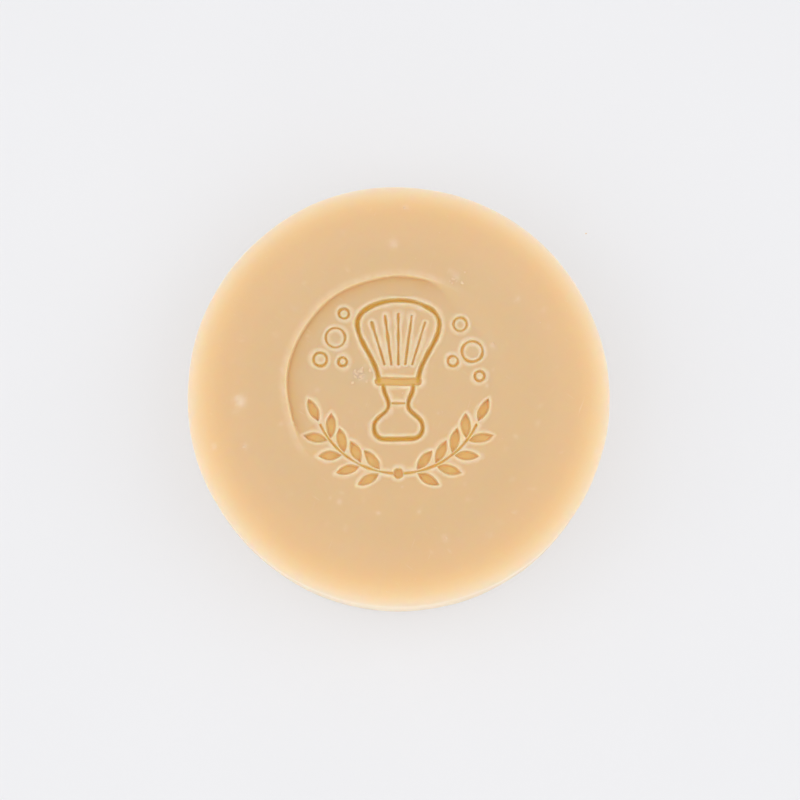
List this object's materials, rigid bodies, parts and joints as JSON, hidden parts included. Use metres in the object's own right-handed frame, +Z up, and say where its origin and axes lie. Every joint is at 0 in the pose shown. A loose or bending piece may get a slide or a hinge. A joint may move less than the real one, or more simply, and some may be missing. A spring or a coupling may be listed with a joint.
{
  "type": "shaving soap puck",
  "caption": "Round cake of hard shaving soap with a soft shoulder, and a mark of a brush, bubbles and leafy branches pressed into a shallow recess on top.",
  "frame": {"origin": "centre of the flat underside, where the puck rests", "axes": "+Z is up, out of the stamped face, and +Y points to the top of the pressed mark"},
  "size_m": [0.07, 0.07, 0.024],
  "materials": {
    "soap": "satin, pale apricot hard soap"
  },
  "bodies": {
    "root": {"soap_puck": "soap"}
  },
  "joints": []
}
